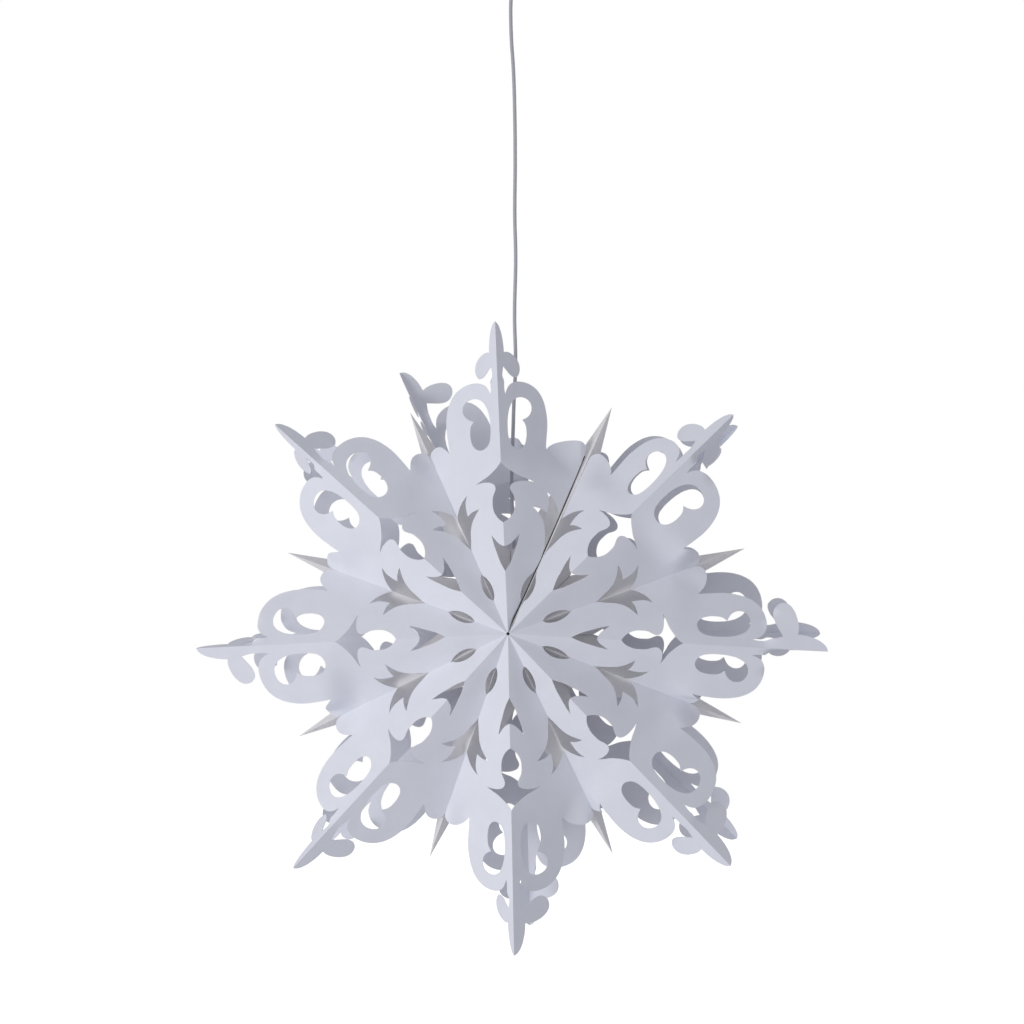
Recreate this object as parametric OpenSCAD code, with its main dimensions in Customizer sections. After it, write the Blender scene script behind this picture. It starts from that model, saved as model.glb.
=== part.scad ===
// Paper snowflake star lantern: a pleated front sheet and a pleated back sheet of eight cut-out
// arms each, over a plain inner star of eight points, hung on a lamp cord from a ceiling cup.
// The star faces -Y, +Z is up, and the origin is the middle of the ceiling strap's top face.

/* [Star] */
// Distance from the hub to the tip of an arm, across the front
tip_r = 302; // [280:1:320]
// Distance from the hub to the end of a valley between two arms
valley_r = 186; // [176:1:196]
// Distance from the hub to the point of an inner spike
spike_r = 239; // [225:1:250]
// Distance from the hub to the notch between two inner points
notch_r = 76; // [72:1:84]
// Depth of each half of the star at its hub
hub_h = 88; // [80:1:96]
// Height of an arm's tip over the middle plane
tip_h = 62; // [50:1:70]
// Height of a valley's end over the inner star's ridge
layer_gap = 0.8; // [0.8:0.1:1.6]
// Thickness of the card
card = 0.4; // [0.3:0.05:0.5]
// Diameter of the pinhole where the creases meet
pinhole_d = 8; // [6:1:12]

/* [Pendant] */
// Drop from the ceiling to the hub
hub_drop = 710; // [680:5:900]
// Diameter of the cord
cord_d = 3.6; // [3:0.1:3.8]
// Diameter of the lamp holder's body
holder_d = 26; // [24:0.5:28]
// Length of the lamp holder's body
holder_h = 34; // [32:1:36]
// Diameter of the lamp's globe
globe_d = 42; // [38:1:44]
// Diameter of the lamp's base
base_d = 13.6; // [13:0.1:13.8]

/* [Ceiling cup] */
// Outer diameter of the ceiling cup
cup_d = 76; // [70:1:90]
// Height of the ceiling cup
cup_h = 44; // [40:1:50]
// Wall of the ceiling cup
cup_wall = 2; // [1.6:0.1:3]
// Distance between the two fixing holes in the ceiling strap
screw_span = 50; // [46:1:54]
// Diameter of each fixing hole
screw_d = 4.5; // [4:0.1:5]

/* [Hidden] */

// Arms and valleys are counted clockwise from the top, and turns are counter-clockwise, in degrees.
// The folded card hangs a little unevenly, and one back arm has swung aside at the open seam.
pitch = 45;
lean = pitch / 2;
valley_turn = [-1.0, -2.8, 0.4, 1.2, 1.8, 3.7, 3.9, 3.4];
front_ridge_turn = [2.8, -0.7, -3.2, -1.4, 0.7, 2.3, 3.0, 3.7];
back_ridge_turn = [25.4, -2.2, -0.9, 1.1, 2.0, 2.4, 3.5, 5.2];
// The valley beside the swung back arm has moved too, and the arm's free leaf spreads this far
loose_valley_turn = 6.5;
free_spread = 31;
// Room left at creases between neighbouring leaves, and beside the crease that opens
crease_gap = 0.25;
flap_gap = 0.9;
inner_h = hub_h - layer_gap;
rim_h = 0.6;
valley_h = rim_h + (inner_h - rim_h) * (1 - valley_r / spike_r) + layer_gap;
ridge_slope = (hub_h - tip_h) / tip_r;

strap_w = 14;
strap_t = 2;
wire_hole_d = 10;
gland_d = 9;
gland_h = 10;
// Wide enough for the cord to swing in; the cord's end is cord_in above the gland's mouth
gland_bore = 6.4;
cord_in = 4;
cap_h = 12;
// Height of the cap's cone, of the plate on top of the socket and of the contact under it
cone_h = 4;
plate_t = 2;
contact_t = 1.2;
gap = 0.3;
// Heights over the hub
disc_top = 62;
disc_t = 2;
disc_d = 30;
holder_gland_top = disc_top - disc_t - gap;
cap_top = holder_gland_top - cone_h;
body_top = cap_top - cap_h;
body_foot = body_top - holder_h + cap_h;
// The lamp's base stands base_out below the holder, and the middle of its globe hangs lower
base_out = 2;
globe_z = body_foot - 23.5;
contact_z = body_top - gap - plate_t - gap - contact_t;
globe_wall = 1;
cord_room_d = 9;
// The cord's route over the hub: x, then height; it leans a little as it hangs
cord_route = [
    [0, holder_gland_top], [-0.8, 80], [-2.2, 105], [-3.2, 130], [-3.2, 160], [-2.2, 190], [-1.2, 225],
    [0.4, 262], [-0.6, 310], [0.5, 367], [-0.4, 410], [0, 460], [-0.4, 510], [-1.8, 555], [-3.6, 582],
    [-4.3, 602], [-4.3, 619], [-3, 636], [-0.5, 651],
    [0, hub_drop - cup_h - gland_h + cord_in]
];

function ridge_az(k, turn) = 90 - pitch * (k - 1) + turn[k - 1];
function valley_az(k, back = false) =
    90 - lean - pitch * (k - 1) + valley_turn[(k + 7) % 8] + (back && k % 8 == 0 ? loose_valley_turn : 0);

// A leaf is half an arm, from its ridge to its valley. Its shape is given as it is seen from the
// front, p along the ridge and q across from it, on a leaf that spreads half a pitch.
edge_points = [
    [tip_r, 0], [300, 3.5], [295, 7], [287.5, 9.6], [278.5, 11.1], [272.8, 11.5],
    [273.3, 16.5], [271.3, 24], [267.3, 30.5], [261.5, 34.5], [255, 34.5], [250.5, 31.5], [248.5, 27],
    [250.5, 20.5], [254.5, 15], [258.8, 9.6], [250.5, 7.6], [243.5, 7], [236, 6.8], [230.5, 7.6],
    [236, 9.6], [240.8, 12.6], [243.7, 17], [244.7, 22], [243.7, 29], [240.3, 36.5], [234.5, 43],
    [225.6, 48], [214.7, 51], [202.6, 52], [191, 51.2], [176.5, 49.5], [180, 53], [183.5, 57.5],
    [184.8, 63], [182.5, 68.5], [177.5, 71.8]
];
curl_hole = [
    [177.5, 20], [179, 14.5], [183, 10.8], [190, 9], [200, 8.6], [211, 9.6], [220, 12.4], [226, 17],
    [229, 22.8], [228, 28.6], [223.5, 33.3], [217.5, 35], [212, 33.3], [208.5, 29.8], [206, 24.5],
    [201.5, 27.5], [195, 28.5], [187, 27.8], [180.5, 25]
];
star_hole = [
    [106.7, -1], [106.7, 0], [109.2, 3.5], [113.8, 7.1], [119.3, 9.3], [125.4, 9.8], [131.5, 9.3],
    [136, 7.4], [140, 6.4], [143.5, 7.9], [145.6, 12.1], [145.9, 18.7], [144.6, 25.8], [148, 20.2],
    [151, 14.6], [155, 9.4], [160, 4], [165.2, 0], [165.2, -1]
];
swallow_hole = [
    [59.5, -1], [59.5, 0], [68.2, 4.4], [78.3, 7.8], [87, 10.5], [95, 12.2], [91, 9.2], [87.5, 6.3],
    [85, 3], [84, 0], [84, -1]
];
palmette_hole = [
    [79.9, 34.5], [79.9, 33.1], [90.1, 33.2], [99.8, 33], [108, 31.2], [114.2, 28], [120.8, 23.5],
    [119.3, 28], [117.3, 32], [114.2, 35.4], [120.8, 36.9], [128, 37.2], [134.7, 35.4], [130, 39.7],
    [124.4, 43], [117.2, 45.6], [112.1, 46.5], [112.1, 48]
];
lens_hole = [
    [31.4, 14.3], [31.4, 13], [35, 12.1], [40.3, 12.4], [47, 14.6], [53.3, 18.9], [57.7, 23.9], [57.7, 25.2]
];

// A leaf that spreads wider stretches towards its valley, but its free end keeps its width.
free_p = 176;
free_q = 52.5;
function reach(p, a) = p * sqrt(1 + a * a);
function flatten(p, q, a, b) =
    [reach(p, a) + a * b * q / sqrt(1 + a * a), q * sqrt(1 + b * b / (1 + a * a))];
function lay(point, spread, a, b) =
    let (p = point[0], q = point[1],
         stretched = flatten(p, q * tan(spread) / tan(lean), a, b), usual = flatten(p, q, a, leaf_slope(lean)))
    p > free_p && q < free_q && usual[1] < stretched[1] ? usual : stretched;
function laid(points, spread, a, b) = [for (point = points) lay(point, spread, a, b)];

module leaf_outline(spread, a, b, ridge_gap) {
    valley_edge = [
        [valley_r * cos(lean), valley_r * sin(lean) - crease_gap],
        [pinhole_d, pinhole_d * tan(lean) - crease_gap]
    ];
    difference() {
        polygon(laid(concat([[pinhole_d / 2, 0]], edge_points, valley_edge), spread, a, b));
        for (hole = [curl_hole, star_hole, swallow_hole, palmette_hole, lens_hole])
            polygon(laid(hole, spread, a, b));
        translate([0, -2]) square([tip_r * 1.1, 2 + ridge_gap]);
    }
}

// Slope of a leaf across its ridge, as seen from the front, and its tilt about the ridge
function leaf_slope(spread) =
    (hub_h - valley_h - ridge_slope * valley_r * cos(spread)) / (valley_r * sin(spread));
function tilt(a, b) = atan(b / sqrt(1 + a * a));
// Where a tilted face of card has to start so that it stays on its own side of the ridge
function face_start(a, b) = card * tan(tilt(a, b)) + 0.05;

// A leaf on the counter-clockwise side of a ridge that lies along +X, falling away from the hub
module leaf(spread, ridge_gap = 0) {
    a = ridge_slope;
    b = leaf_slope(spread);
    rotate([0, atan(a), 0]) rotate([-tilt(a, b), 0, 0]) translate([0, 0, -card])
        linear_extrude(card) leaf_outline(spread, a, b, max(ridge_gap, face_start(a, b)));
}

// Stands the flat star up: its axis points to the front, and its hub hangs under the cup
module stand() { translate([0, 0, -hub_drop]) rotate([90, 0, 0]) children(); }
module side(back) { mirror([0, 0, back ? 1 : 0]) translate([0, 0, hub_h]) children(); }

// Both leaves of arm k, which meet at its crease, or only the counter-clockwise one beside a flap
module arm(k, back) {
    ridge = ridge_az(k, back ? back_ridge_turn : front_ridge_turn);
    color(back ? "gainsboro" : "whitesmoke") stand() side(back) rotate([0, 0, ridge]) {
        leaf(valley_az(k - 1, back) - ridge);
        if (k > 1) mirror([0, 1, 0]) leaf(ridge - valley_az(k, back));
    }
}

// The clockwise leaf of the top arm, beside the open seam
module flap(back) {
    ridge = ridge_az(1, back ? back_ridge_turn : front_ridge_turn);
    spread = back ? free_spread : ridge - valley_az(1);
    color("lavender") stand() side(back) rotate([0, 0, ridge]) mirror([0, 1, 0]) leaf(spread, flap_gap);
}

// One half of an inner point: two plain faces from its ridge to the notches beside it
module inner_half(k, back) {
    ridge = valley_az(k);
    notch_before = ridge_az(k, front_ridge_turn);
    notch_after = ridge_az(k % 8 + 1, front_ridge_turn) - (k == 8 ? 360 : 0);
    a = (inner_h - rim_h) / spike_r;
    color("silver") stand() difference() {
        mirror([0, 0, back ? 1 : 0]) translate([0, 0, inner_h]) rotate([0, 0, ridge]) {
            inner_face(notch_before - ridge, a);
            mirror([0, 1, 0]) inner_face(ridge - notch_after, a);
        }
        if (k == 1 || k == 8) translate([0, notch_r, 0]) rotate([90, 0, 0])
            cylinder(d = cord_room_d, h = 60, center = true, $fn = 32);
    }
}

function inner_slope(spread, a) =
    (inner_h - rim_h - a * notch_r * cos(spread)) / (notch_r * sin(spread));
module inner_face(spread, a) {
    b = inner_slope(spread, a);
    q = notch_r * sin(spread);
    flat_p = reach(notch_r * cos(spread), a) + a * b * q / sqrt(1 + a * a);
    flat_q = q * sqrt(1 + b * b / (1 + a * a));
    start = pinhole_d / 2 / notch_r;
    rotate([0, atan(a), 0]) rotate([-tilt(a, b), 0, 0]) translate([0, 0, -card])
        linear_extrude(card) difference() {
            polygon([
                [start * flat_p, 0], [reach(spike_r, a), 0],
                [flat_p, flat_q - crease_gap], [start * flat_p, start * flat_q - crease_gap]
            ]);
            translate([0, -1]) square([spike_r * 1.2, 1 + face_start(a, b)]);
        }
}

// Stands a piece on the cord's line, with its foot the given height over the hub
module over_hub(height) { translate([0, 0, height - hub_drop]) children(); }

module tube(outer_d, inner_d, height) {
    difference() {
        cylinder(d = outer_d, h = height, $fn = 48);
        translate([0, 0, -1]) cylinder(d = inner_d, h = height + 2, $fn = 48);
    }
}

// The strap that is screwed to the ceiling; the cup's rim grips its rounded ends
module ceiling_strap() {
    color("silver") translate([0, 0, -strap_t]) difference() {
        intersection() {
            translate([-cup_d / 2, -strap_w / 2, 0]) cube([cup_d, strap_w, strap_t]);
            cylinder(d = cup_d - 2 * cup_wall - 0.1, h = strap_t, $fn = 96);
        }
        for (x = [-1, 1]) translate([x * screw_span / 2, 0, -1]) cylinder(d = screw_d, h = strap_t + 2, $fn = 32);
        translate([0, 0, -1]) cylinder(d = wire_hole_d, h = strap_t + 2, $fn = 48);
    }
}

// An open cone that covers the wires, with a short straight rim against the ceiling
module ceiling_cup() {
    r = cup_d / 2;
    rim = 6;
    neck_r = gland_d / 2 + 5;
    floor_top = -cup_h + cup_wall + 1;
    color("white") rotate_extrude($fn = 96) polygon([
        [gland_d / 2, -cup_h], [neck_r, -cup_h], [r, -rim], [r, 0], [r - cup_wall, 0],
        [r - cup_wall, -rim - 1], [neck_r, floor_top], [gland_d / 2, floor_top]
    ]);
}

// The cup's cord gland: a collar under the cup, a shank through it and a nut inside
module cup_gland() {
    color("white") translate([0, 0, -cup_h]) difference() {
        union() {
            translate([0, 0, -gland_h]) cylinder(d1 = gland_d - 1, d2 = gland_d + 5, h = gland_h - gap, $fn = 48);
            translate([0, 0, -gap - 0.1]) cylinder(d = gland_d - 2 * gap, h = 9, $fn = 48);
            translate([0, 0, cup_wall + 2 + gap]) cylinder(d = gland_d + 6, h = 4, $fn = 6);
        }
        translate([0, 0, -gland_h - 1]) cylinder(d = gland_bore, h = gland_h + 14, $fn = 48);
    }
}

// The cord: rings of eight points swept along the route, upright all the way
function spline(points, i, t) =
    let (last = len(points) - 1,
         a = points[max(i - 1, 0)], b = points[i], c = points[min(i + 1, last)], d = points[min(i + 2, last)])
    0.5 * ((2 * b) + (c - a) * t + (2 * a - 5 * b + 4 * c - d) * t * t + (3 * b - a - 3 * c + d) * t * t * t);
module cord() {
    sides = 8;
    steps = 4;
    last = len(cord_route) - 1;
    path = [for (i = [0:last - 1]) for (s = [0:steps - 1]) spline(cord_route, i, s / steps), cord_route[last]];
    points = [for (at = path) for (s = [0:sides - 1])
        [at[0] + cord_d / 2 * cos(360 * s / sides), cord_d / 2 * sin(360 * s / sides), at[1] - hub_drop]];
    rings = len(path);
    walls = [for (n = [0:rings - 2]) for (s = [0:sides - 1])
        let (a = n * sides + s, b = n * sides + (s + 1) % sides)
        each [[b, a, a + sides], [b, a + sides, b + sides]]];
    foot = [for (s = [0:sides - 1]) s];
    head = [for (s = [sides - 1:-1:0]) (rings - 1) * sides + s];
    color("gainsboro") polyhedron(points, concat(walls, [foot], [head]));
}

// The grip on the holder's cap that holds the cord's end
module holder_gland() {
    color("whitesmoke") over_hub(cap_top) cylinder(d = gland_d, h = holder_gland_top - cap_top, $fn = 48);
}

module holder_cap() {
    color("whitesmoke") over_hub(body_top) union() {
        translate([0, 0, cap_h - cone_h]) cylinder(d1 = holder_d, d2 = holder_d - 8, h = cone_h, $fn = 64);
        tube(holder_d, holder_d - 4, cap_h - cone_h);
    }
}

module holder_body() {
    color("whitesmoke") over_hub(body_foot) union() {
        tube(holder_d - 3, base_d + 1.2, body_top - body_foot - gap);
        translate([0, 0, body_top - body_foot - gap - plate_t]) cylinder(d = holder_d - 3, h = plate_t, $fn = 48);
    }
}

// The threaded ring round the foot of the holder
module holder_ring() {
    color("whitesmoke") over_hub(body_foot + 1) tube(holder_d + 3, holder_d - 2.4, 6);
}

// The sprung centre contact at the top of the socket
module holder_contact() {
    color("gold") over_hub(contact_z) translate([-2, -5, 0]) cube([4, 10, contact_t]);
}

module lamp_base() {
    button_h = 3;
    shell_h = contact_z - gap - button_h - (body_foot - base_out);
    color("silver") over_hub(body_foot - base_out) union() {
        cylinder(d = base_d, h = shell_h, $fn = 48);
        translate([0, 0, shell_h - 0.01]) cylinder(d = 6, h = button_h, $fn = 32);
    }
}

// The lamp's glass globe, open at its neck
module lamp_globe() {
    neck_h = body_foot - base_out - gap - globe_z;
    color("white") over_hub(globe_z) difference() {
        union() {
            sphere(d = globe_d, $fn = 64);
            cylinder(d = base_d + 6, h = neck_h, $fn = 48);
        }
        sphere(d = globe_d - 2 * globe_wall, $fn = 64);
        cylinder(d = base_d - 2, h = neck_h + 1, $fn = 48);
    }
}

// The disc that the inner star's top notch sits on; the cord's grip turns under it
module hanger_disc() {
    color("white") over_hub(disc_top - disc_t) tube(disc_d, cord_d + 2, disc_t);
}

ceiling_strap();
ceiling_cup();
cup_gland();
cord();
holder_gland();
holder_cap();
holder_body();
holder_ring();
holder_contact();
lamp_base();
lamp_globe();
hanger_disc();
flap(false);  // front_flap
flap(true);  // back_flap
for (k = [1:8]) {
    arm(k, false);
    arm(k, true);
    inner_half(k, false);
    inner_half(k, true);
}
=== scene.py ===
"""Finish of the paper snowflake star: folded card, cord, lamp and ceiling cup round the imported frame."""

import math

import bmesh
import bpy
from mathutils import Matrix, Vector


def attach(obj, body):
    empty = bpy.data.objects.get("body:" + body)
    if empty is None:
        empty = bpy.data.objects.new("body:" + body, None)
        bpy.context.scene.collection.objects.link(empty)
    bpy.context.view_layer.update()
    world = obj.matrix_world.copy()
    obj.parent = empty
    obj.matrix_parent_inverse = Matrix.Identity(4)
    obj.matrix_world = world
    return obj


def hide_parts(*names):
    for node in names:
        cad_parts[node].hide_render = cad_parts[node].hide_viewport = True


bl_info = {
    "name": "Paper Snowflake Star",
    "version": (1, 0, 0),
    "blender": (4, 5, 0),
    "location": "View3D > Sidebar > Star",
    "description": "Dresses a folded paper star pendant in card, cord, plastic and glass",
    "category": "Add Mesh",
}

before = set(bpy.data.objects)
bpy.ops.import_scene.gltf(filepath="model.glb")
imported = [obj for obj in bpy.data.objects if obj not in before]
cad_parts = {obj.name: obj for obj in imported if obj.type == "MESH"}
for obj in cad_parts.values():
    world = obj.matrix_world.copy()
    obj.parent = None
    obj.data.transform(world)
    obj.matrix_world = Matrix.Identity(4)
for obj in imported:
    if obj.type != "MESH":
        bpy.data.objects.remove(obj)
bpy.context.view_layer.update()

MM = 0.001

# ---------------------------------------------------------------- the folded star, in millimetres
HUB_DROP = 710
TIP_R = 302
VALLEY_R = 186
SPIKE_R = 239
NOTCH_R = 76
HUB_H = 88
TIP_H = 62
# The inner star lies this far inside the cut-out sheets, and its rim this far off the middle plane
LAYER_GAP = 0.8
RIM_H = 0.1
PINHOLE_R = 1.5
INNER_H = HUB_H - LAYER_GAP
VALLEY_H = RIM_H + (INNER_H - RIM_H) * (1 - VALLEY_R / SPIKE_R) + LAYER_GAP
RIDGE_SLOPE = (HUB_H - TIP_H) / TIP_R

# Arms and valleys are counted clockwise from the top, and turns are counter-clockwise, in degrees
ARMS = 8
PITCH = 360 / ARMS
LEAN = PITCH / 2
LEAN_COS = math.cos(math.radians(LEAN))
LEAN_SIN = math.sin(math.radians(LEAN))
LEAN_TAN = math.tan(math.radians(LEAN))
VALLEY_TURN = [-1.0, -2.8, 0.4, 1.2, 1.8, 3.7, 3.9, 3.4]
FRONT_RIDGE_TURN = [2.8, -0.7, -3.2, -1.4, 0.7, 2.3, 3.0, 3.7]
BACK_RIDGE_TURN = [25.4, -2.2, -0.9, 1.1, 2.0, 2.4, 3.5, 5.2]
# The valley beside the swung back arm has moved too, and that arm's free leaf spreads this far
LOOSE_VALLEY_TURN = 6.5
FREE_SPREAD = 31

# The open seam's slit in the inner star: how far from its valley it starts, how far it strays by the
# valley's end, and its width. Near the hub its place and width stay within a share of the way out
SEAM_START = 0.35
SEAM_START_SHARE = 0.2
SEAM_SPREAD = 3.2
SEAM_CUT = 1.4
SEAM_CUT_SHARE = 0.1
# The slit ends here, where the leaves over it end, and those leaves clear it by this much
SEAM_END = 184
SEAM_GAPE = 0.9
# The dark strip of painted shadow behind the slit: where it starts, how far it laps each side, and how far
# behind the card it lies
SHADOW_STRIP_START = 3
SHADOW_STRIP_LAP = 0.7
SHADOW_STRIP_SINK = 0.7

# How wide each front arm's curls, and then its lobes, look from the front, from the ridge to their outer
# side, on the counter-clockwise and the clockwise leaf. One that falls away more looks narrower
FRONT_CURL_SEEN = [
    (51.5, 48), (43.5, 61), (51, 49.5), (59, 51), (50, 42), (52, 46.5), (57, 52.5), (52, 57),
]
FRONT_LOBE_SEEN = [
    (21, 22), (26, 18), (45, 0), (35, 27), (34, 16), (30.7, 14), (35.5, 9), (14, 29.5),
]
# The same widths on the flat card, and how far behind the tips the curls and the lobes lie
CURL_FLAT = 64.6
LOBE_FLAT = 42.85
CURL_DEPTH = 14.8
LOBE_DEPTH = 11
# They are seen from this far, this many degrees round to the right and this far over the hub
SIGHT_DISTANCE = 2000
SIGHT_TURN = 4.5
SIGHT_RISE = 115
# How steeply each back arm's free outer end falls away beside its ridge, in degrees: at its curls, then
# at its lobes, each on the counter-clockwise and the clockwise leaf
BACK_FALL = [
    ((88, -14), (88, -18)), ((26, 35), (40, 75)), ((22, 35), (36, 60)), ((37, 36), (50, 40)),
    ((21, 40), (43, 50)), ((30, 35), (60, 60)), ((30, 32), (52, 75)), ((34, 34), (59, 57)),
]
# How long each arm stands beside the nominal one
FRONT_REACH = [0.988, 0.983, 0.998, 1.004, 1.018, 1.022, 1.01, 1.004]
BACK_REACH = [0.951, 0.993, 1, 1.005, 0.995, 1.01, 0.993, 0.994]

# Along the ridge: where the free end starts to fold its own way, and where its lobes do
FREE_END = (150, 182)
LOBE_END = (242.5, 250)
# Across the ridge: where the card is held by its valley again
HELD_SIDE = (51, 68)
# A leaf that spreads less than this, in degrees, is folded nearly shut all along
NARROW = 15
# A leaf that spreads more than this, in degrees, fans out and doesn't grow
WIDE = 28
# Its free end has turned outward in its own plane by this slope
FREE_TWIST = 0.2
# Card rounds its folds: each leaf is this share of its distance from the hub off flat
BOW = 0.0045

# Half of an arm's outline from its tip to the valley's end: p along the ridge, q across from it
EDGE = [
    (TIP_R, 0), (300, 3.5), (295, 7), (287.5, 9.6), (278.5, 11.1), (272.8, 11.5),
    (273.3, 16.5), (271.3, 24), (267.3, 30.5), (261.5, 34.5), (255, 34.5), (250.5, 31.5), (248.5, 27),
    (250.5, 20.5), (254.5, 15), (258.8, 9.6), (250.5, 7.6), (243.5, 7), (236, 6.8), (230.5, 7.6),
    (236, 9.6), (240.2, 12.6), (242.7, 17), (243.6, 22), (242.7, 29), (239.5, 36.5), (234, 43),
    (225.6, 48), (214.7, 51), (202.6, 52), (191, 51.2), (176.5, 49.5), (180, 53), (183.5, 57.5),
    (184.8, 63), (182.5, 68.5), (177.5, 71.8),
]
CURL_HOLE = [
    (177.5, 20), (179, 14.5), (183, 10.8), (190, 9), (200, 8.6), (211, 9.6), (220, 12.4), (226, 17),
    (228.2, 22.8), (227.2, 28.6), (223.5, 33.3), (217.5, 35), (212, 33.3), (208.5, 29.8), (206, 24.5),
    (201.5, 27.5), (195, 28.5), (187, 27.8), (180.5, 25),
]
STAR_HOLE = [
    (106.7, 0), (109.2, 3.5), (113.8, 7.1), (119.3, 9.3), (125.4, 9.8), (131.5, 9.3),
    (136, 7.4), (140, 6.4), (143.5, 7.9), (145.6, 12.1), (145.9, 18.7), (144.6, 25.8), (148, 20.2),
    (151, 14.6), (155, 9.4), (160, 4), (165.2, 0),
]
SWALLOW_HOLE = [
    (59.5, 0), (68.2, 4.4), (78.3, 7.8), (87, 10.5), (95, 12.2), (91, 9.2), (87.5, 6.3), (85, 3), (84, 0),
]
# Notches in the valley edge, from its outer end inward
PALMETTE_NOTCH = [
    (112.1, 46.5), (117.2, 45.6), (124.4, 43), (130, 39.7), (134.7, 35.4), (128, 37.2), (120.8, 36.9),
    (114.2, 35.4), (117.3, 32), (119.3, 28), (120.8, 23.5), (114.2, 28), (108, 31.2), (99.8, 33),
    (90.1, 33.2), (79.9, 33.1),
]
LENS_NOTCH = [(57.7, 23.9), (53.3, 18.9), (47, 14.6), (40.3, 12.4), (35, 12.1), (31.4, 13)]

# The cord's route over the hub: x, then height
CORD_ROUTE = [
    (0, 59.7), (-0.8, 80), (-2.2, 105), (-3.2, 130), (-3.2, 160), (-2.2, 190), (-1.2, 225), (0.4, 262),
    (-0.6, 310), (0.5, 367), (-0.4, 410), (0, 460), (-0.4, 510), (-1.8, 555), (-3.6, 582), (-4.3, 602),
    (-4.3, 619), (-3, 636), (-0.5, 651), (0, 660),
]
CORD_D = 3.6
# The lamp's globe: its radius, its wall, and its middle's height over the hub
GLOBE_R = 21
GLOBE_WALL = 1
GLOBE_Z = -1.8
# Its outside and its inside end at the neck, at these angles in radians from straight down
GLOBE_OUTER_END = 2.655
GLOBE_INNER_END = 2.84
GLOBE_STEP = 0.06

# ---------------------------------------------------------------- how the meshes are made

# The flat card's axes: along its ridge and across it
ALONG = 0
ACROSS = 1
# Where an arm is scored along its ridge, and how far to each side of it, in millimetres
ARM_SCORED = (10, 290)
ARM_SCORED_SIDE = 77
# Card is scored this often, in millimetres, so that it can bend there
ARM_SCORE = 7
POINT_SCORE = 8
POINT_SCORE_ACROSS = 10
# Points of an outline that lie this near are one, and a score closer than this to a point goes through it
WELD = 0.01
ON_LINE = 0.001
# An outline that turns by more than this at a point, in degrees, has a corner there
CORNER_TURN = 50
# Folds of card and turned edges sharper than this are shaded sharp
CARD_CREASE = math.radians(28)
TURNED_CREASE = math.radians(30)
# A cut edge's small faces stand at more than this to the card's face, and are this long at most
CUT_ANGLE = math.radians(60)
CUT_LENGTH = 8
# Steps round a turned piece
TURNED_STEPS = 96
# A rib's pitch is shared out as its start, its end and the bottom of the groove after it
RIB_START = 0.15
RIB_END = 0.6
RIB_GROOVE = 0.85

# ---------------------------------------------------------------- the stage, in metres

SENSOR_WIDTH_MM = 36
VIEW_REACH = 100
# The key lamp's place from the hub, and its side
KEY_PLACE = (-1.6, -1.7, -0.1)
KEY_SIZE = 1.1
# The floor's drop under the ceiling, half its side, and how bright it looks to the camera
FLOOR_DROP = 2.4
FLOOR_REACH = 12
FLOOR_GLOW = 0.8


def linear(hex_colour):
    """An sRGB hex colour as the linear RGBA that shaders take."""
    channels = [int(hex_colour[i:i + 2], 16) / 255 for i in (1, 3, 5)]
    return [c / 12.92 if c <= 0.04045 else ((c + 0.055) / 1.055) ** 2.4 for c in channels] + [1]


# ---------------------------------------------------------------- materials


def add_node(owner, kind, settings=(), links=()):
    """Adds a shader node to a material or world; links maps its inputs to (node, output name)."""
    tree = owner.node_tree
    node = tree.nodes.new(kind)
    for name, value in dict(settings).items():
        if name in node.inputs:
            node.inputs[name].default_value = value
        else:
            setattr(node, name, value)
    for name, (source, output) in dict(links).items():
        tree.links.new(source.outputs[output], node.inputs[name])
    return node


def new_material(name, **sockets):
    """A material with one Principled BSDF whose sockets take plain values."""
    material = bpy.data.materials.new(name)
    material.use_nodes = True
    shader = material.node_tree.nodes["Principled BSDF"]
    for socket, value in sockets.items():
        shader.inputs[socket.replace("_", " ")].default_value = value
    return material, shader


def feed(material, shader, socket, node, output):
    """Links a node's output to one of the shader's sockets."""
    material.node_tree.links.new(node.outputs[output], shader.inputs[socket])


def darker(colour, share):
    """A linear RGBA colour at a share of its brightness."""
    return [c * share for c in colour[:3]] + [1]


def card_material(name, hex_colour, grain_mm=0.9, cloud_mm=22):
    """Uncoated card: matt, with short fibres and faint clouds of denser pulp."""
    base = linear(hex_colour)
    material, shader = new_material(name, Roughness=0.88, IOR=1.45)
    place = add_node(material, "ShaderNodeTexCoord")
    clouds = add_node(
        material, "ShaderNodeTexNoise", {"Scale": 1 / (cloud_mm * MM), "Detail": 3},
        {"Vector": (place, "Object")},
    )
    shades = add_node(material, "ShaderNodeValToRGB", links={"Fac": (clouds, "Fac")})
    ends = shades.color_ramp.elements
    ends[0].position, ends[1].position = 0.3, 0.7
    ends[0].color = darker(base, 0.965)
    ends[1].color = base
    feed(material, shader, "Base Color", shades, "Color")
    fibres = add_node(
        material, "ShaderNodeTexNoise", {"Scale": 1 / (grain_mm * MM), "Detail": 4, "Roughness": 0.6},
        {"Vector": (place, "Object")},
    )
    bump = add_node(
        material, "ShaderNodeBump", {"Strength": 0.12, "Distance": 0.1 * MM}, {"Height": (fibres, "Fac")}
    )
    feed(material, shader, "Normal", bump, "Normal")
    return material


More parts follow.
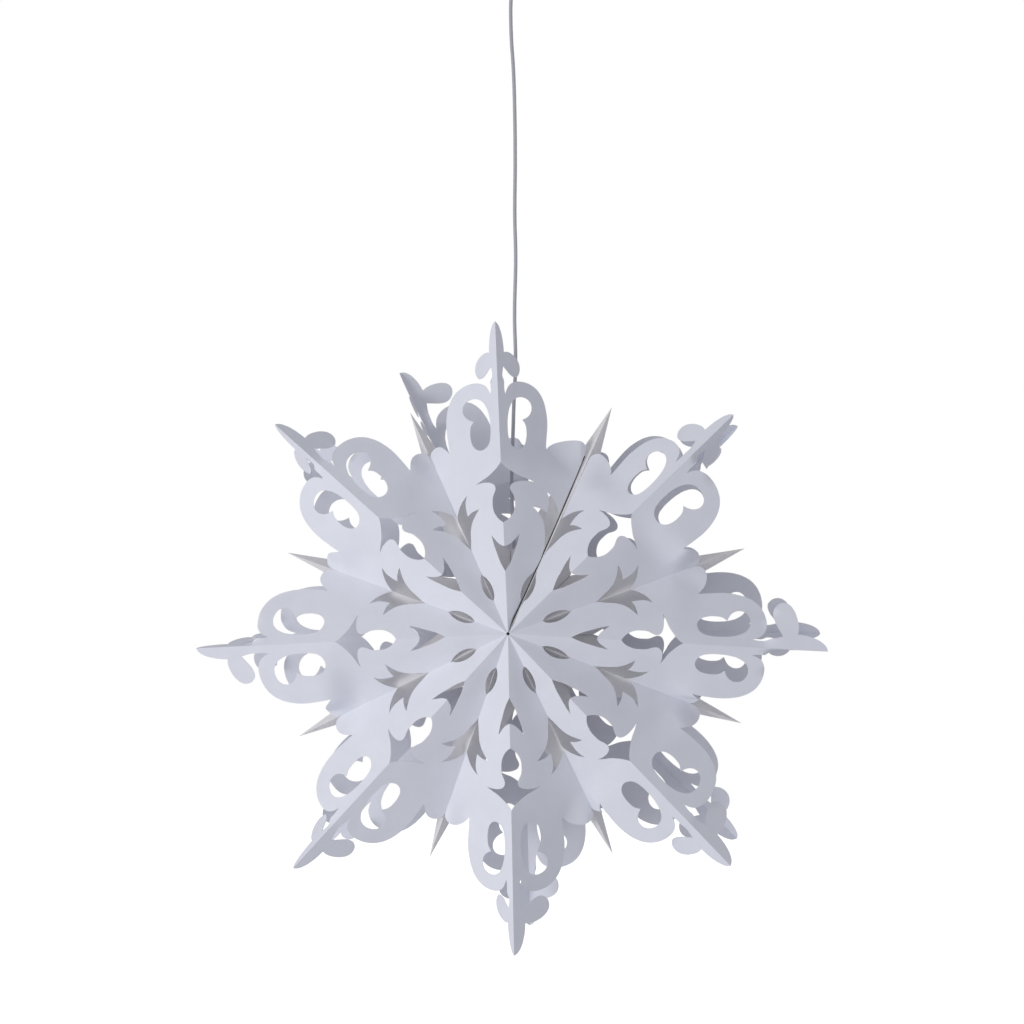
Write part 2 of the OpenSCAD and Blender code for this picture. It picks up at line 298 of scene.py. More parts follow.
def shadow_strip_material(name, hex_colour, nap_mm=0.4):
    """A dark matt strip that paints the shadow in the open seam's slit, with a fine, slightly uneven nap.
    """
    base = linear(hex_colour)
    material, shader = new_material(name, Roughness=0.95)
    place = add_node(material, "ShaderNodeTexCoord")
    nap = add_node(
        material, "ShaderNodeTexNoise", {"Scale": 1 / (nap_mm * MM), "Detail": 3},
        {"Vector": (place, "Object")},
    )
    shades = add_node(material, "ShaderNodeValToRGB", links={"Fac": (nap, "Fac")})
    shades.color_ramp.elements[0].color = darker(base, 0.7)
    shades.color_ramp.elements[1].color = base
    feed(material, shader, "Base Color", shades, "Color")
    bump = add_node(
        material, "ShaderNodeBump", {"Strength": 0.3, "Distance": 0.1 * MM}, {"Height": (nap, "Fac")}
    )
    feed(material, shader, "Normal", bump, "Normal")
    return material


def plastic_material(name, hex_colour, roughness=0.42, grain_mm=0.5):
    """Moulded plastic: an even colour with a fine spark-eroded grain that softens its gloss."""
    material, shader = new_material(name, Base_Color=linear(hex_colour), IOR=1.5)
    place = add_node(material, "ShaderNodeTexCoord")
    grain = add_node(
        material, "ShaderNodeTexNoise", {"Scale": 1 / (grain_mm * MM), "Detail": 2},
        {"Vector": (place, "Object")},
    )
    gloss = add_node(
        material, "ShaderNodeMapRange",
        {"To Min": roughness - 0.05, "To Max": roughness + 0.08}, {"Value": (grain, "Fac")},
    )
    feed(material, shader, "Roughness", gloss, "Result")
    bump = add_node(
        material, "ShaderNodeBump", {"Strength": 0.08, "Distance": 0.05 * MM}, {"Height": (grain, "Fac")}
    )
    feed(material, shader, "Normal", bump, "Normal")
    return material


def metal_material(name, hex_colour, roughness, wear_mm=4):
    """Rolled sheet metal: bright, with small changes of gloss where it is handled."""
    material, shader = new_material(name, Base_Color=linear(hex_colour), Metallic=1)
    place = add_node(material, "ShaderNodeTexCoord")
    wear = add_node(
        material, "ShaderNodeTexNoise", {"Scale": 1 / (wear_mm * MM), "Detail": 4},
        {"Vector": (place, "Object")},
    )
    gloss = add_node(
        material, "ShaderNodeMapRange",
        {"To Min": roughness - 0.06, "To Max": roughness + 0.12}, {"Value": (wear, "Fac")},
    )
    feed(material, shader, "Roughness", gloss, "Result")
    return material


def flex_material(name, hex_colour, cloud_mm=9):
    """Extruded PVC flex: smooth, a little cloudy along its length."""
    base = linear(hex_colour)
    material, shader = new_material(name, Roughness=0.5, IOR=1.52)
    place = add_node(material, "ShaderNodeTexCoord")
    clouds = add_node(
        material, "ShaderNodeTexNoise", {"Scale": 1 / (cloud_mm * MM), "Detail": 2},
        {"Vector": (place, "Object")},
    )
    shades = add_node(material, "ShaderNodeValToRGB", links={"Fac": (clouds, "Fac")})
    shades.color_ramp.elements[0].color = darker(base, 0.9)
    shades.color_ramp.elements[1].color = base
    feed(material, shader, "Base Color", shades, "Color")
    return material


def opal_material(name, hex_colour, swirl_mm=14):
    """Opal glass: a glossy skin over a milky body, with faint swirls of denser milk."""
    base = linear(hex_colour)
    material, shader = new_material(name, Roughness=0.12, IOR=1.52, Coat_Weight=0.4)
    place = add_node(material, "ShaderNodeTexCoord")
    swirls = add_node(
        material, "ShaderNodeTexNoise", {"Scale": 1 / (swirl_mm * MM), "Detail": 2, "Distortion": 1.0},
        {"Vector": (place, "Object")},
    )
    shades = add_node(material, "ShaderNodeValToRGB", links={"Fac": (swirls, "Fac")})
    shades.color_ramp.elements[0].color = darker(base, 0.96)
    shades.color_ramp.elements[1].color = base
    feed(material, shader, "Base Color", shades, "Color")
    return material


# ---------------------------------------------------------------- meshes


def turn_angle(before, here, after):
    """Degrees by which an outline turns at a point."""
    come, go = Vector(here) - Vector(before), Vector(after) - Vector(here)
    return math.degrees(come.angle(go)) if come.length and go.length else 0


def cut_sheet(name, loops, corner_turn=CORNER_TURN, steps=4):
    """A flat mesh in millimetres, cut to closed outlines: smooth curves with sharp corners kept."""
    curve = bpy.data.curves.new(name, "CURVE")
    curve.dimensions = "2D"
    curve.fill_mode = "BOTH"
    curve.resolution_u = steps
    for loop in loops:
        spline = curve.splines.new("BEZIER")
        spline.bezier_points.add(len(loop) - 1)
        spline.use_cyclic_u = True
        for i, (knot, at) in enumerate(zip(spline.bezier_points, loop)):
            sharp = turn_angle(loop[i - 1], at, loop[(i + 1) % len(loop)]) > corner_turn
            knot.co = (*at, 0)
            knot.handle_left_type = knot.handle_right_type = "VECTOR" if sharp else "AUTO"
    cutter = bpy.data.objects.new(name, curve)
    bpy.context.scene.collection.objects.link(cutter)
    bpy.context.view_layer.update()
    sheet = bmesh.new()
    sheet.from_mesh(cutter.to_mesh())
    bpy.data.objects.remove(cutter)
    bpy.data.curves.remove(curve)
    bmesh.ops.remove_doubles(sheet, verts=sheet.verts, dist=WELD)
    return sheet


def all_of(mesh):
    """Every point, edge and face, as the operators that cut a mesh take them."""
    return [*mesh.verts, *mesh.edges, *mesh.faces]


def score(sheet, axis, places):
    """Cuts the flat mesh along straight lines at places on an axis, so that it can bend there."""
    for place in places:
        at = Vector((0, 0, 0))
        at[axis] = place
        line = Vector((0, 0, 0))
        line[axis] = 1
        bmesh.ops.bisect_plane(sheet, geom=all_of(sheet), plane_co=at, plane_no=line, dist=ON_LINE)


def steps_between(start, stop, step):
    """Evenly spaced values from start to stop, about a step apart."""
    count = round((stop - start) / step)
    return [start + (stop - start) * i / count for i in range(count + 1)]


def mirrored(points):
    """The same points on the other side of the ridge."""
    return [(p, -q) for p, q in points]


def arm_template():
    """One arm of the star as flat card, ridge along +X, in millimetres as seen from the front."""
    half = [
        *EDGE, (VALLEY_R * LEAN_COS, VALLEY_R * LEAN_SIN),
        *PALMETTE_NOTCH, *LENS_NOTCH, (PINHOLE_R, PINHOLE_R * LEAN_TAN),
    ]
    outline = [*half, *mirrored(half[:0:-1])]
    holes = [CURL_HOLE, mirrored(CURL_HOLE)]
    for hole in (STAR_HOLE, SWALLOW_HOLE):
        holes.append([*hole, *mirrored(hole[-2:0:-1])])
    sheet = cut_sheet("arm_template", [outline, *holes])
    score(sheet, ALONG, range(ARM_SCORED[0], ARM_SCORED[1] + 1, ARM_SCORE))
    score(sheet, ACROSS, range(-ARM_SCORED_SIDE, ARM_SCORED_SIDE + 1, ARM_SCORE))
    return sheet


def smoothstep(start, stop, value):
    """0 up to start, 1 from stop on, and a smooth rise between them."""
    t = min(max((value - start) / (stop - start), 0), 1)
    return t * t * (3 - 2 * t)


def leaf_slope(spread):
    """How steeply a leaf falls from its ridge to its valley, that many degrees apart."""
    spread = math.radians(spread)
    return (HUB_H - VALLEY_H - RIDGE_SLOPE * VALLEY_R * math.cos(spread)) / (VALLEY_R * math.sin(spread))


def fall_angle(seen, flat, depth, azimuth, side):
    """Degrees by which card of a flat width falls away, where it looks this wide from the front."""
    turn = math.radians(azimuth)
    nearness = 1 - depth / SIGHT_DISTANCE
    # Card that lies deeper looks moved to the right and up, which widens it on one side of the ridge
    right, up = math.tan(math.radians(SIGHT_TURN)), SIGHT_RISE / SIGHT_DISTANCE
    moved = side * (up * math.cos(turn) - right * math.sin(turn))
    widest = flat * math.hypot(nearness, moved)
    return math.degrees(math.atan2(moved, nearness) + math.acos(min(seen / widest, 1)))


def front_falls(k):
    """How steeply front arm k's curls, and then its lobes, fall away on its two leaves, in degrees."""
    azimuth = ridge_az(k, False)
    parts = ((FRONT_CURL_SEEN, CURL_FLAT, CURL_DEPTH), (FRONT_LOBE_SEEN, LOBE_FLAT, LOBE_DEPTH))
    return [
        [fall_angle(width, flat, depth, azimuth, side) for width, side in zip(seen[k - 1], (1, -1))]
        for seen, flat, depth in parts
    ]


def folded(p, q, spread, curl_fall, lobe_fall):
    """Where a point of a leaf lies once the card is folded: along the ridge, across it, and height."""
    slope, usual = leaf_slope(spread), leaf_slope(LEAN)
    free = smoothstep(*FREE_END, p) * (1 - smoothstep(*HELD_SIDE, abs(q)))
    spread_q = abs(q) * math.tan(math.radians(spread)) / LEAN_TAN
    if spread > WIDE:
        shrink = math.hypot(p, q) / math.hypot(p, spread_q)
        p = p * (1 + (shrink - 1) * (1 - free)) + FREE_TWIST * abs(q) * free
        spread_q *= shrink
    width = spread_q * math.sqrt(1 + slope * slope)
    if spread > NARROW:
        width += (abs(q) * math.sqrt(1 + usual * usual) - width) * free
    fall = math.degrees(math.atan(slope))
    fall += (curl_fall - fall) * free + (lobe_fall - curl_fall) * smoothstep(*LOBE_END, p)
    share = min(math.atan2(spread_q, p) / math.radians(spread), 1)
    bow = BOW * math.hypot(p, spread_q) * math.sin(2 * math.pi * share) * (1 - free)
    fall = math.radians(fall)
    return p, width * math.cos(fall), HUB_H - RIDGE_SLOPE * p - width * math.sin(fall) + bow


def stand(p, q, height, azimuth, back):
    """A point of the flat star, in millimetres, stood up under the ceiling, in metres."""
    turn = math.radians(azimuth)
    x = p * math.cos(turn) - q * math.sin(turn)
    z = p * math.sin(turn) + q * math.cos(turn)
    return Vector((x, height if back else -height, z - HUB_DROP)) * MM


def is_cut(edge):
    """Whether two faces meet at this edge as the card's face and its cut edge do."""
    return len(edge.link_faces) == 2 and edge.calc_face_angle(0) > CUT_ANGLE


def finish_sheet(sheet, name, card, materials, flip):
    """Gives a folded sheet its thickness, sharp folds and cut edges, and makes it an object."""
    bmesh.ops.triangulate(sheet, faces=sheet.faces)
    if flip:
        bmesh.ops.reverse_faces(sheet, faces=sheet.faces)
    sheet.normal_update()
    skin = set(sheet.faces)
    bmesh.ops.solidify(sheet, geom=list(sheet.faces), thickness=card)
    sheet.normal_update()
    for face in sheet.faces:
        face.smooth = True
    for edge in sheet.edges:
        edge.smooth = edge.calc_face_angle(0) < CARD_CREASE
    for face in sheet.faces:
        small = face not in skin and face.calc_area() < card * CUT_LENGTH * MM
        face.material_index = 1 if small and any(is_cut(edge) for edge in face.edges) else 0
    mesh = bpy.data.meshes.new(name)
    sheet.to_mesh(mesh)
    sheet.free()
    for material in materials:
        mesh.materials.append(material)
    piece = bpy.data.objects.new(name, mesh)
    bpy.context.scene.collection.objects.link(piece)
    return piece


def hang_arm(template, name, k, back, side, settings, materials):
    """Folds a copy of the arm template into arm k; side +1 or -1 keeps one leaf, 0 keeps both."""
    sheet = template.copy()
    if side:
        bmesh.ops.bisect_plane(
            sheet, geom=all_of(sheet), plane_co=(0, 0, 0), plane_no=(0, -side, 0), dist=ON_LINE,
            clear_outer=True,
        )
    ridge = ridge_az(k, back)
    spreads = leaf_spreads(k, back)
    curl_falls, lobe_falls = BACK_FALL[k - 1] if back else front_falls(k)
    reach = (BACK_REACH if back else FRONT_REACH)[k - 1]
    for vert in sheet.verts:
        p, q = vert.co.x, vert.co.y
        leaf = 0 if q > 0 else 1
        along, across, height = folded(p, q, spreads[leaf], curl_falls[leaf], lobe_falls[leaf])
        share = abs(q) / p / LEAN_TAN
        across *= 1 + (reach - 1) * share
        # Each sheet's loose leaf draws in from the seam, and so does the front leaf on its other side
        clear = 0
        if side < 0:
            clear = seam_cut(min(p / LEAN_COS, VALLEY_R)) + SEAM_GAPE
        elif k == 2 and q > 0 and not back:
            clear = SEAM_GAPE
        across -= min(clear * share ** 3, across / 2)
        vert.co = stand(along * reach, math.copysign(across, q), height, ridge, back)
    return finish_sheet(sheet, name, settings.card * MM, materials, flip=back)


def hang_sheet(paper, back):
    """Hangs the front or the back sheet: eight cut-out arms, and the leaf beside the open seam."""
    side = "back" if back else "front"
    materials = [
        card_material(f"{side}_card", paper.front_colour),
        card_material(f"{side}_card_edge", paper.edge_colour, grain_mm=0.5),
    ]
    template = arm_template()
    for k in range(1, ARMS + 1):
        kept = 1 if k == 1 else 0
        arm = hang_arm(template, f"{side}_leaves_{k}", k, back, kept, paper, materials)
        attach(arm, "star")
        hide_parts(f"{side}_arm_{k}")
    flap = hang_arm(template, f"{side}_seam_leaf", 1, back, -1, paper, materials)
    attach(flap, f"{side}_seam_flap")
    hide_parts(f"{side}_flap")
    template.free()


def ridge_az(k, back):
    """Where arm k's ridge points, in degrees counter-clockwise from +X."""
    return 90 - PITCH * (k - 1) + (BACK_RIDGE_TURN if back else FRONT_RIDGE_TURN)[k - 1]


def valley_az(k, back=False):
    """Where the valley after arm k points, in degrees counter-clockwise from +X."""
    loose = LOOSE_VALLEY_TURN if back and k % ARMS == 0 else 0
    return 90 - LEAN - PITCH * (k - 1) + VALLEY_TURN[(k - 1) % ARMS] + loose


def leaf_spreads(k, back):
    """Degrees from arm k's ridge to the valleys on its two sides."""
    before = valley_az(k - 1, back) - ridge_az(k, back)
    after = ridge_az(k, back) - valley_az(k, back)
    return before, (FREE_SPREAD if back and k == 1 else after)


def seam_line(out):
    """How far the open seam lies from its valley, at a distance from the hub."""
    return min(SEAM_START, SEAM_START_SHARE * out) + SEAM_SPREAD * (out / VALLEY_R) ** 3


def seam_cut(out):
    """The far side of the inner star's open seam."""
    return seam_line(out) + min(SEAM_CUT, SEAM_CUT_SHARE * out)


def point_template(seam=False):
    """One inner point as flat card, ridge along +X, with or without the open seam's slit beside it."""
    notch = (NOTCH_R * LEAN_COS, NOTCH_R * LEAN_SIN)
    start = tuple(c * PINHOLE_R / NOTCH_R for c in notch)
    outline = [(SPIKE_R, 0), notch, start]
    if seam:
        # The slit's points lie on the score lines, so that no slivers are left between them
        steps = [start[0], *range(POINT_SCORE, SEAM_END + 1, POINT_SCORE)]
        outline += [(p, seam_cut(p)) for p in steps] + [(p, seam_line(p)) for p in reversed(steps)]
    outline += [(start[0], -start[1]), (notch[0], -notch[1])]
    sheet = cut_sheet("point_template", [outline], corner_turn=1, steps=1)
    score(sheet, ALONG, range(POINT_SCORE, SPIKE_R - POINT_SCORE, POINT_SCORE))
    score(sheet, ACROSS, range(-2 * POINT_SCORE_ACROSS, 3 * POINT_SCORE_ACROSS, POINT_SCORE_ACROSS))
    return sheet


def fold_point(p, q, k, back, inward=0):
    """Where a point of flat inner point k lies once it is folded, or that far behind its face."""
    notch_before = ridge_az(k, False) - valley_az(k)
    notch_after = valley_az(k) - ridge_az(k % ARMS + 1, False) + (360 if k == ARMS else 0)
    spread = math.radians(notch_before if q > 0 else notch_after)
    fall = (INNER_H - RIM_H) / SPIKE_R
    notch = NOTCH_R * LEAN_COS
    slope = (INNER_H - RIM_H - fall * notch) / (notch * math.tan(spread))
    across = q * math.tan(spread) / LEAN_TAN
    return stand(p, across, INNER_H - fall * p - slope * abs(across) - inward, valley_az(k), back)


def hang_point(template, name, k, back, settings, materials):
    """Folds a copy of the point template into inner point k."""
    sheet = template.copy()
    for vert in sheet.verts:
        vert.co = fold_point(vert.co.x, vert.co.y, k, back)
    return finish_sheet(sheet, name, settings.card * MM, materials, flip=back)


def hang_shadow_strip(name, settings, material):
    """Lays a dark strip behind the inner star's open seam, under its first front point: painted shadow in
    the slit.
    """
    strip = bmesh.new()
    rows = []
    for p in range(SHADOW_STRIP_START, SEAM_END + SHADOW_STRIP_START, POINT_SCORE):
        sides = (seam_line(p) - SHADOW_STRIP_LAP, seam_cut(p) + SHADOW_STRIP_LAP)
        rows.append([strip.verts.new(fold_point(p, q, 1, False, SHADOW_STRIP_SINK)) for q in sides])
    for (a, b), (c, d) in zip(rows, rows[1:]):
        strip.faces.new((a, c, d, b))
    return finish_sheet(strip, name, settings.card * MM, [material, material], flip=False)


def lathe(node, body, height, profile, material):
    """Spins a closed profile of (radius, height) in millimetres round the cord's line, for a CAD node."""
    ring = bmesh.new()
    corners = [ring.verts.new((r * MM, 0, (z + height) * MM)) for r, z in profile]
    for a, b in zip(corners, corners[1:] + corners[:1]):
        if a.co.x or b.co.x:
            ring.edges.new((a, b))
    bmesh.ops.spin(
        ring, geom=[*ring.verts, *ring.edges], cent=(0, 0, 0), axis=(0, 0, 1), dvec=(0, 0, 0),
        angle=math.tau, steps=TURNED_STEPS, use_merge=True,
    )
    bmesh.ops.remove_doubles(ring, verts=ring.verts, dist=ON_LINE * MM)
    bmesh.ops.recalc_face_normals(ring, faces=ring.faces)
    for face in ring.faces:
        face.smooth = True
    for edge in ring.edges:
        edge.smooth = edge.calc_face_angle(0) < TURNED_CREASE
    mesh = bpy.data.meshes.new(f"{node}_turned")
    ring.to_mesh(mesh)
    ring.free()
    mesh.materials.append(material)
    piece = bpy.data.objects.new(mesh.name, mesh)
    bpy.context.scene.collection.objects.link(piece)
    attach(piece, body)
    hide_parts(node)


def ribs(radius, depth, start, stop, pitch):
    """Profile points of shallow round ribs between two heights."""
    count = round((stop - start) / pitch)
    points = []
    for n in range(count):
        foot = start + (stop - start) * n / count
        points += [
            (radius, foot + pitch * RIB_START), (radius, foot + pitch * RIB_END),
            (radius - depth, foot + pitch * RIB_GROOVE),
        ]
    return points


def globe_arc(radius, start, stop):
    """Profile points round the globe's middle between two angles from straight down, in radians."""
    step = math.copysign(GLOBE_STEP, stop - start)
    angles = steps_between(start, stop, step)
    return [(radius * math.sin(a), GLOBE_Z - radius * math.cos(a)) for a in angles]


def dress(name, material):
    """Gives a CAD node its finish."""
    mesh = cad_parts[name].data
    mesh.materials.clear()
    mesh.materials.append(material)


# ---------------------------------------------------------------- settings


class StarPaperSettings(bpy.types.PropertyGroup):
    card: bpy.props.FloatProperty(
        name="Card", description="Thickness of the card, in millimetres", default=0.4
    )
    front_colour: bpy.props.StringProperty(
        name="Front colour", description="sRGB hex colour of the outer sheets", default="#ECEEF7"
    )
    # White card, set lighter than the front sheets' card: painted light standing in for light through the
    # thin card
    inner_colour_with_painted_light: bpy.props.StringProperty(
        name="Inner colour with painted light", description="sRGB hex colour of the plain inner star", default="#F8F6F7"
    )
    edge_colour: bpy.props.StringProperty(
        name="Edge colour", description="sRGB hex colour of the cut edges", default="#F0F0F4"
    )
    # Colour of the dark strip behind the open seam's slit: painted shadow
    seam_shadow_colour: bpy.props.StringProperty(
        name="Seam shadow colour", description="sRGB hex colour of the strip behind the open seam",
        default="#57504C",
    )


class StarPendantSettings(bpy.types.PropertyGroup):
    cord_colour: bpy.props.StringProperty(
        name="Cord colour", description="sRGB hex colour of the flex", default="#B9BAC2"
    )
    plastic_colour: bpy.props.StringProperty(
        name="Plastic colour", description="sRGB hex colour of the cup and the holder", default="#E4E4E6"
    )


class StarStageSettings(bpy.types.PropertyGroup):
    camera_distance: bpy.props.FloatProperty(
        name="Camera distance", description="From the plane of the arms' tips", default=2.0, unit="LENGTH"
    )
    camera_rise: bpy.props.FloatProperty(
        name="Camera rise", description="Height of the camera over the hub", default=0.08, unit="LENGTH"
    )
    camera_shift: bpy.props.FloatProperty(
        name="Camera side", description="How far to the left of the hub the camera's axis passes",
        default=0.0031, unit="LENGTH",
    )
    camera_turn: bpy.props.FloatProperty(
        name="Camera turn", description="How far the camera stands round to the right, in degrees",
        default=4.5,
    )
    camera_tilt: bpy.props.FloatProperty(
        name="Camera tilt", description="How far the camera looks up, in degrees", default=1.01
    )
    lens: bpy.props.FloatProperty(
        name="Lens", description="Focal length, in millimetres", default=73.6, unit="CAMERA"
    )
    key_power: bpy.props.FloatProperty(
        name="Key", description="Power of the key lamp, in watts", default=20.5, unit="POWER"
    )
    fill: bpy.props.FloatProperty(
        name="Fill", description="Strength of the even light all round", default=0.495
    )


# ---------------------------------------------------------------- operators


class STAR_OT_stage(bpy.types.Operator):
    """Sets the camera, the key lamp, the pale floor and the white surroundings"""

    bl_idname = "star.stage"
    bl_label = "Stage"

    def execute(self, context):
        scene, stage = context.scene, context.scene.star_stage
        hub = Vector((0, 0, -HUB_DROP * MM))
        self.place_camera(scene, stage, hub)
        self.hang_key_lamp(scene, stage, hub)
        self.make_surroundings(scene, stage)
        self.lay_floor(scene)
        return {"FINISHED"}

    def place_camera(self, scene, stage, hub):
        """Looks at the star from the front, a little to the right of it and over its hub."""
        camera = bpy.data.objects.new("camera", bpy.data.cameras.new("camera"))
        camera.data.lens = stage.lens
        camera.data.sensor_width = SENSOR_WIDTH_MM
        camera.data.clip_end = VIEW_REACH
        turn = Matrix.Rotation(math.radians(stage.camera_turn), 4, "Z")
        away = Vector((-stage.camera_shift, -TIP_H * MM - stage.camera_distance, stage.camera_rise))
        camera.location = hub + turn @ away
        camera.rotation_euler = (math.radians(90 + stage.camera_tilt), 0, math.radians(stage.camera_turn))
        scene.collection.objects.link(camera)
        scene.camera = camera
        scene.view_settings.view_transform = "Standard"

    def hang_key_lamp(self, scene, stage, hub):
        """A soft square lamp in front of the star, to its left."""
        data = bpy.data.lights.new("key", "AREA")
        data.shape = "SQUARE"
        data.size = KEY_SIZE
        data.energy = stage.key_power
        lamp = bpy.data.objects.new("key", data)
        lamp.location = hub + Vector(KEY_PLACE)
        lamp.rotation_euler = (hub - lamp.location).to_track_quat("-Z", "Y").to_euler()
        scene.collection.objects.link(lamp)

    def make_surroundings(self, scene, stage):
        """White to the eye and in reflections, and dimmer as light on the object."""
        world = bpy.data.worlds.new("surroundings")
        world.use_nodes = True
        nodes = world.node_tree.nodes
        dim = nodes["Background"]
        dim.inputs["Color"].default_value = linear("#F1F2F7")
        dim.inputs["Strength"].default_value = stage.fill
        white = add_node(world, "ShaderNodeBackground", {"Color": (1, 1, 1, 1)})
        rays = add_node(world, "ShaderNodeLightPath")
        seen = add_node(
            world, "ShaderNodeMath", {"operation": "MAXIMUM"},
            {0: (rays, "Is Camera Ray"), 1: (rays, "Is Glossy Ray")},
        )
        shown = add_node(
            world, "ShaderNodeMath", {"operation": "MAXIMUM"},
            {0: (seen, "Value"), 1: (rays, "Is Transmission Ray")},
        )
        mix = add_node(
            world, "ShaderNodeMixShader",
            links={0: (shown, "Value"), 1: (dim, "Background"), 2: (white, "Background")},
        )
        world.node_tree.links.new(mix.outputs["Shader"], nodes["World Output"].inputs["Surface"])
        scene.world = world

    def lay_floor(self, scene):
        """A pale floor far below the star, which keeps its soft shadow."""
        board = bmesh.new()
        bmesh.ops.create_grid(board, x_segments=2, y_segments=2, size=FLOOR_REACH)
        bmesh.ops.translate(board, verts=board.verts, vec=(0, 0, -FLOOR_DROP))
        mesh = bpy.data.meshes.new("floor")
        board.to_mesh(mesh)
        board.free()
        # Matt floor paint, which shows its own light only to the camera
        material, shader = new_material("painted_floor", Base_Color=linear("#F4F4F6"), Roughness=0.9)
        rays = add_node(material, "ShaderNodeLightPath")
        feed(material, shader, "Emission Strength", rays, "Is Camera Ray")
        shader.inputs["Emission Color"].default_value = (FLOOR_GLOW, FLOOR_GLOW, FLOOR_GLOW, 1)
        mesh.materials.append(material)
        floor = bpy.data.objects.new("floor", mesh)
        scene.collection.objects.link(floor)


class STAR_OT_cord(bpy.types.Operator):
    """Hangs the round flex from the ceiling cup to the lamp holder"""

    bl_idname = "star.cord"
    bl_label = "Cord"

    def execute(self, context):
        pendant = context.scene.star_pendant
        route = [Vector((x, 0, height - HUB_DROP)) * MM for x, height in reversed(CORD_ROUTE)]
        curve = bpy.data.curves.new("cord_flex", "CURVE")
        curve.dimensions = "3D"
        curve.resolution_u = 12
        curve.bevel_depth = CORD_D / 2 * MM
        curve.bevel_resolution = 6
        curve.use_fill_caps = True
        spline = curve.splines.new("BEZIER")
        spline.bezier_points.add(len(route) - 1)
        for knot, at in zip(spline.bezier_points, route):
            knot.co = at
            knot.handle_left_type = knot.handle_right_type = "AUTO"
        curve.materials.append(flex_material("pvc_flex", pendant.cord_colour))
        cord = bpy.data.objects.new("cord_flex", curve)
        context.scene.collection.objects.link(cord)
        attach(cord, "pendant")
        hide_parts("cord")
        return {"FINISHED"}


class STAR_OT_front_sheet(bpy.types.Operator):
    """Folds the eight cut-out arms of the front sheet and the leaf beside its seam"""

    bl_idname = "star.front_sheet"
    bl_label = "Front sheet"

    def execute(self, context):
        hang_sheet(context.scene.star_paper, back=False)
        return {"FINISHED"}


class STAR_OT_back_sheet(bpy.types.Operator):
    """Folds the eight cut-out arms of the back sheet and the leaf beside its seam"""

    bl_idname = "star.back_sheet"
    bl_label = "Back sheet"

    def execute(self, context):
        hang_sheet(context.scene.star_paper, back=True)
        return {"FINISHED"}


class STAR_OT_inner_star(bpy.types.Operator):
    """Folds the plain inner star, whose points show through the cut-outs and between the arms"""

    bl_idname = "star.inner_star"
    bl_label = "Inner star"

    def execute(self, context):
        paper = context.scene.star_paper
        materials = [
            # The inner card's colour carries painted light, lighter than the front card's
            card_material("inner_card", paper.inner_colour_with_painted_light),
            card_material("inner_card_edge", paper.edge_colour, grain_mm=0.5),
        ]
        template = point_template()
        seam_template = point_template(seam=True)
        for k in range(1, ARMS + 1):
            for side in ("front", "back"):
                card = seam_template if k == 1 and side == "front" else template
                point = hang_point(card, f"inner_{side}_fold_{k}", k, side == "back", paper, materials)
                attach(point, "star")
                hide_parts(f"inner_{side}_{k}")
        # The dark strip behind the open seam's slit paints the shadow there
        strip = hang_shadow_strip("inner_seam_painted_shadow", paper, shadow_strip_material("seam_painted_shadow", paper.seam_shadow_colour))
        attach(strip, "star")
        template.free()
        seam_template.free()
        return {"FINISHED"}


class STAR_OT_ceiling_fitting(bpy.types.Operator):
    """Finishes the ceiling cup, its cord gland and the strap over it"""

    bl_idname = "star.ceiling_fitting"
    bl_label = "Ceiling fitting"

    def execute(self, context):
        plastic = plastic_material("moulded_abs", context.scene.star_pendant.plastic_colour)
        cup = [
            (4.6, -44), (8.6, -44), (9.6, -43.7), (10.4, -42.9), (23.8, -25), (37, -7.4), (37.7, -6.4),
            (38, -5.4), (38, -4.8), (37.6, -4.5), (37.6, -4.1), (38, -3.8), (38, -0.6), (37.7, -0.1),
            (37, 0), (36, 0), (36, -6.8), (35.4, -7.7), (9.9, -40.5), (9, -41), (4.6, -41),
        ]
        lathe("ceiling_cup", "ceiling_fitting", 0, cup, plastic)
        dress("cup_gland", plastic)
        dress("ceiling_strap", metal_material("zinc_plated_steel", "#B9BBBE", 0.38))
        return {"FINISHED"}


class STAR_OT_lamp_holder(bpy.types.Operator):
    """Finishes the lamp holder, its contact and the disc that the star sits on"""

    bl_idname = "star.lamp_holder"
    bl_label = "Lamp holder"

    def execute(self, context):
        colour = context.scene.star_pendant.plastic_colour
        plastic = plastic_material("moulded_pbt", colour, roughness=0.35)
        cap = [
            (0, 51.7), (11, 51.7), (11, 43.7), (12.6, 43.7), (13, 44.1), *ribs(13, 0.25, 45, 51, 1.5),
            (13, 51.3), (12.6, 52), (9.3, 55.4), (8.6, 55.7), (0, 55.7),
        ]
        body = [
            (7.4, 21.7), (11.2, 21.7), (11.5, 22.1), *ribs(11.5, 0.4, 29, 42, 1.3),
            (11.5, 43), (11.2, 43.4), (0, 43.4), (0, 41.4), (7.4, 41.4),
        ]
        ring = [
            (11.8, 22.7), (14, 22.7), (14.5, 23.1), *ribs(14.5, 0.4, 23.4, 28, 1.15),
            (14.5, 28.3), (14, 28.7), (11.8, 28.7),
        ]
        disc = [(2.8, 60), (14.6, 60), (15, 60.4), (15, 61.6), (14.6, 62), (3.1, 62), (2.8, 61.7)]
        for node, profile in (("holder_cap", cap), ("holder_body", body), ("holder_ring", ring)):
            lathe(node, "pendant", -HUB_DROP, profile, plastic)
        lathe("hanger_disc", "star", -HUB_DROP, disc, plastic)
        dress("holder_gland", plastic)
        dress("holder_contact", metal_material("sheet_brass", "#C9A24B", 0.3))
        return {"FINISHED"}


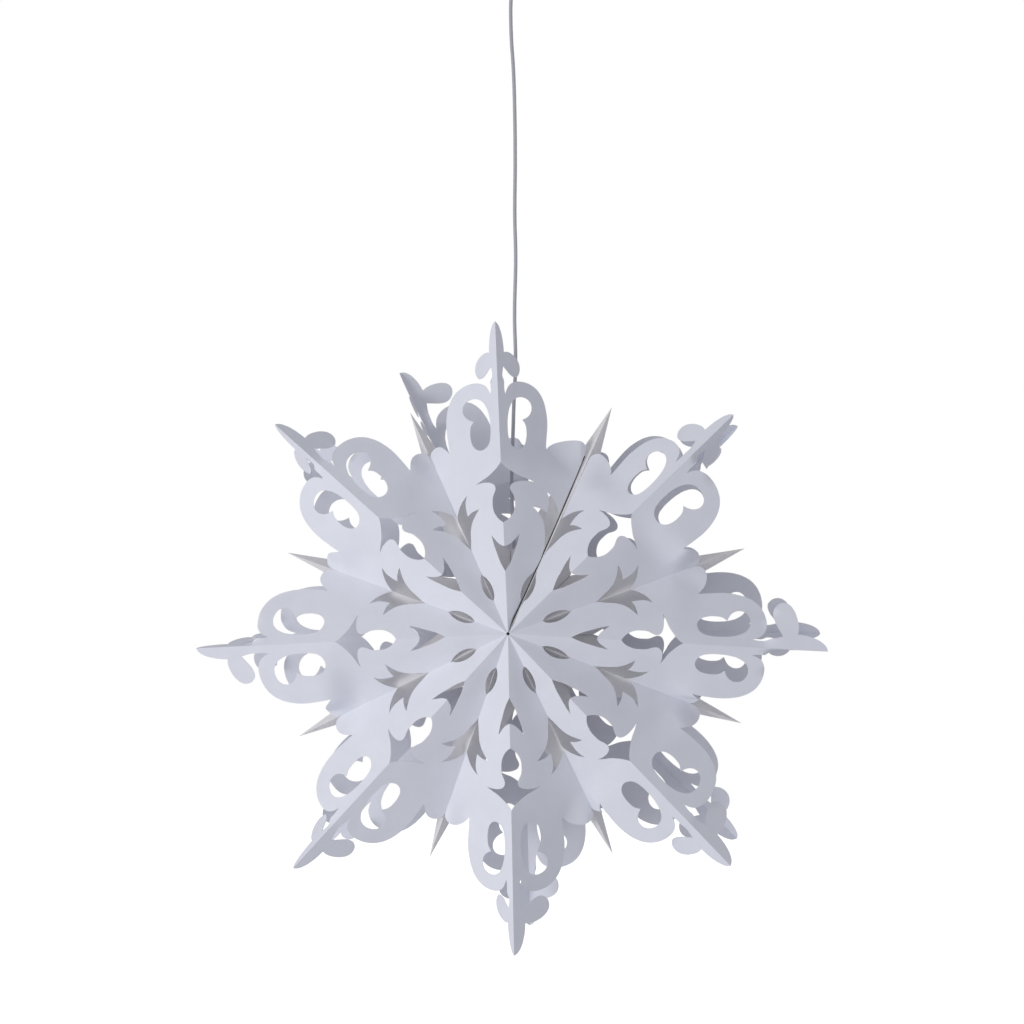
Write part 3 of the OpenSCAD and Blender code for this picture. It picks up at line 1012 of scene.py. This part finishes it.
class STAR_OT_lamp(bpy.types.Operator):
    """Finishes the lamp: its threaded base and opal globe"""

    bl_idname = "star.lamp"
    bl_label = "Lamp"

    def execute(self, context):
        base = [
            (0, 19.7), (6.2, 19.7), (6.5, 20.1), *ribs(6.8, 0.5, 21, 34, 2.2), (6.6, 35), (6.1, 36.2),
            (3.3, 36.6), (3, 36.9), (3, 39.2), (2.6, 39.5), (0, 39.5),
        ]
        metal = metal_material("rolled_aluminium", "#C4C6C9", 0.34)
        lathe("lamp_base", "lamp", -HUB_DROP, base, metal)
        outer = globe_arc(GLOBE_R, 0, GLOBE_OUTER_END)
        inner = globe_arc(GLOBE_R - GLOBE_WALL, GLOBE_INNER_END, 0)
        neck = [(9.8, 17.1), (9.8, 19), (9.5, 19.4), (6.2, 19.4), (5.9, 19)]
        glass = opal_material("opal_glass", "#ECECEC")
        lathe("lamp_globe", "lamp", -HUB_DROP, [*outer, *neck, *inner], glass)
        return {"FINISHED"}


class STAR_PT_panel(bpy.types.Panel):
    """Lists the star's pieces"""

    bl_idname = "STAR_PT_panel"
    bl_label = "Paper snowflake star"
    bl_space_type = "VIEW_3D"
    bl_region_type = "UI"
    bl_category = "Star"

    def draw(self, context):
        for operator in OPERATORS:
            self.layout.operator(operator.bl_idname)


SETTINGS = {
    "star_paper": StarPaperSettings,
    "star_pendant": StarPendantSettings,
    "star_stage": StarStageSettings,
}
OPERATORS = [
    STAR_OT_stage, STAR_OT_cord, STAR_OT_front_sheet, STAR_OT_back_sheet, STAR_OT_inner_star,
    STAR_OT_ceiling_fitting, STAR_OT_lamp_holder, STAR_OT_lamp,
]


def register():
    for group in (*SETTINGS.values(), *OPERATORS, STAR_PT_panel):
        bpy.utils.register_class(group)
    for name, group in SETTINGS.items():
        setattr(bpy.types.Scene, name, bpy.props.PointerProperty(type=group))


def unregister():
    for name in SETTINGS:
        delattr(bpy.types.Scene, name)
    for group in (STAR_PT_panel, *reversed(OPERATORS), *SETTINGS.values()):
        bpy.utils.unregister_class(group)


def main():
    register()
    for operator in OPERATORS:
        group, name = operator.bl_idname.split(".")
        getattr(getattr(bpy.ops, group), name)()


if __name__ == "__main__":
    main()
